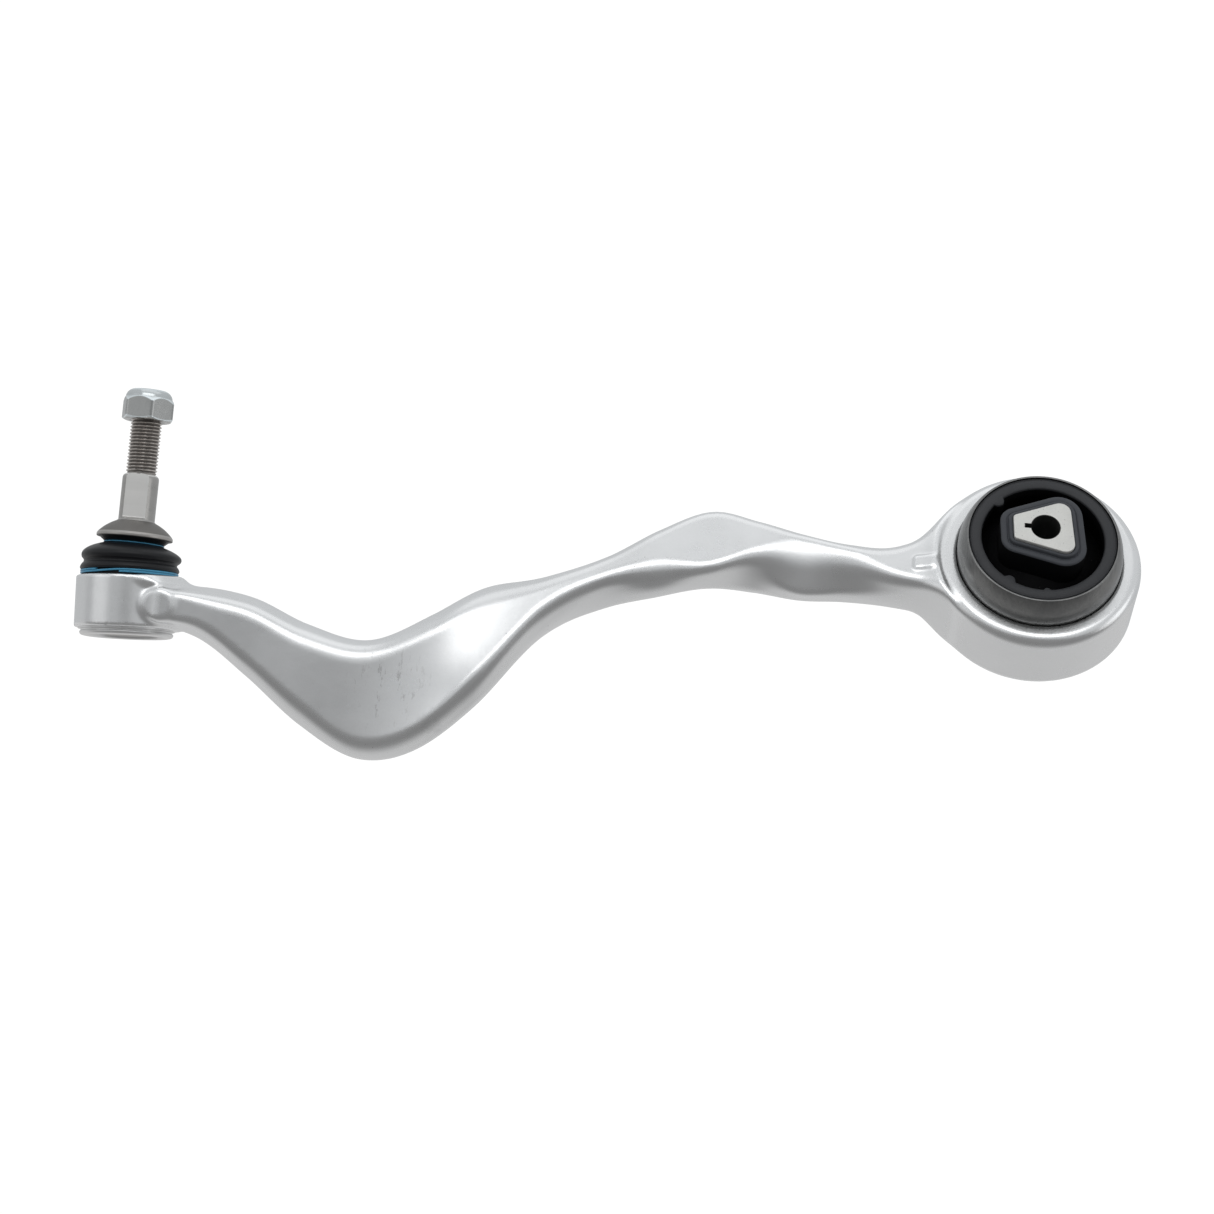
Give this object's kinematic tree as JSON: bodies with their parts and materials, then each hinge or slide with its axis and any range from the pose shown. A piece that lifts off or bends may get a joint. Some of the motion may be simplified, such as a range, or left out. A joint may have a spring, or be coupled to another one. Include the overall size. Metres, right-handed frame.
{
  "type": "suspension control arm",
  "caption": "Forged aluminium front control arm with a ball joint under a rubber boot at one end and a fluid-filled rubber bush in an eye at the other.",
  "frame": {"origin": "centre of the bush's bolt hole, halfway along the inner core", "axes": "+Z along the ball stud at rest, +X from the ball joint towards the bush, -Y the side from which the bush's open end is seen; the bush's axis lies in the YZ plane, 29.3 degrees above -Y"},
  "size_m": [0.464, 0.0778, 0.1555],
  "materials": {
    "forged_aluminium": "satin, shot-blasted forging",
    "core_aluminium": "extruded, matt with fine specks",
    "machined_steel": "turned and ground, grey",
    "zinc_steel": "bright zinc plate",
    "sleeve_steel": "drawn, phosphated grey",
    "inner_steel": "bare sheet steel",
    "blue_steel": "blue-coated spring wire",
    "boot_rubber": "matt moulded",
    "bush_rubber": "matt moulded",
    "seat_plastic": "moulded natural white",
    "channel_plastic": "moulded black",
    "lock_plastic": "moulded natural white"
  },
  "bodies": {
    "bush_core": {"bush_core": "core_aluminium", "travel_stop": "channel_plastic"},
    "bush_flex": {"bush_rubber": "bush_rubber"},
    "arm": {"arm_forging": "forged_aluminium", "bush_sleeve": "sleeve_steel", "rubber_cage": "inner_steel", "fluid_channel_upper": "channel_plastic", "fluid_channel_lower": "channel_plastic", "ball_seat": "seat_plastic", "closing_plate": "inner_steel", "boot_lower_ring": "blue_steel"},
    "boot": {"dust_boot": "boot_rubber"},
    "boot_neck": {"boot_upper_ring": "blue_steel"},
    "stud": {"ball_stud": "machined_steel"},
    "nut": {"stud_nut": "zinc_steel", "nut_lock_ring": "lock_plastic"}
  },
  "joints": [
    {"name": "bush_swing", "type": "hinge", "parent": "bush_core", "child": "bush_flex", "pos_m": [0, 0, 0], "axis": [0, 0.4894, 0.8721], "range_deg": [-5, 5], "stiffness_Nm_per_rad": 260, "deforming": ["bush_rubber"]},
    {"name": "bush_torsion", "type": "hinge", "parent": "bush_flex", "child": "arm", "pos_m": [0, 0, 0], "axis": [0, -0.8721, 0.4894], "range_deg": [-15, 15], "stiffness_Nm_per_rad": 95, "deforming": ["bush_rubber"]},
    {"name": "stud_tilt_side", "type": "hinge", "parent": "arm", "child": "boot", "pos_m": [-0.3958, 0, -0.0508], "axis": [1, 0, 0], "range_deg": [-18, 18], "deforming": ["dust_boot"]},
    {"name": "stud_tilt_along", "type": "hinge", "parent": "boot", "child": "boot_neck", "pos_m": [-0.3958, 0, -0.0508], "axis": [0, 1, 0], "range_deg": [-20, 14], "deforming": ["dust_boot"]},
    {"name": "stud_spin", "type": "hinge", "parent": "boot_neck", "child": "stud", "pos_m": [-0.3958, 0, -0.0508], "axis": [0, 0, 1], "continuous": true},
    {"name": "nut_travel", "type": "slide", "parent": "stud", "child": "nut", "axis": [0, 0, 1], "range_m": [-0.022, 0.062]}
  ]
}
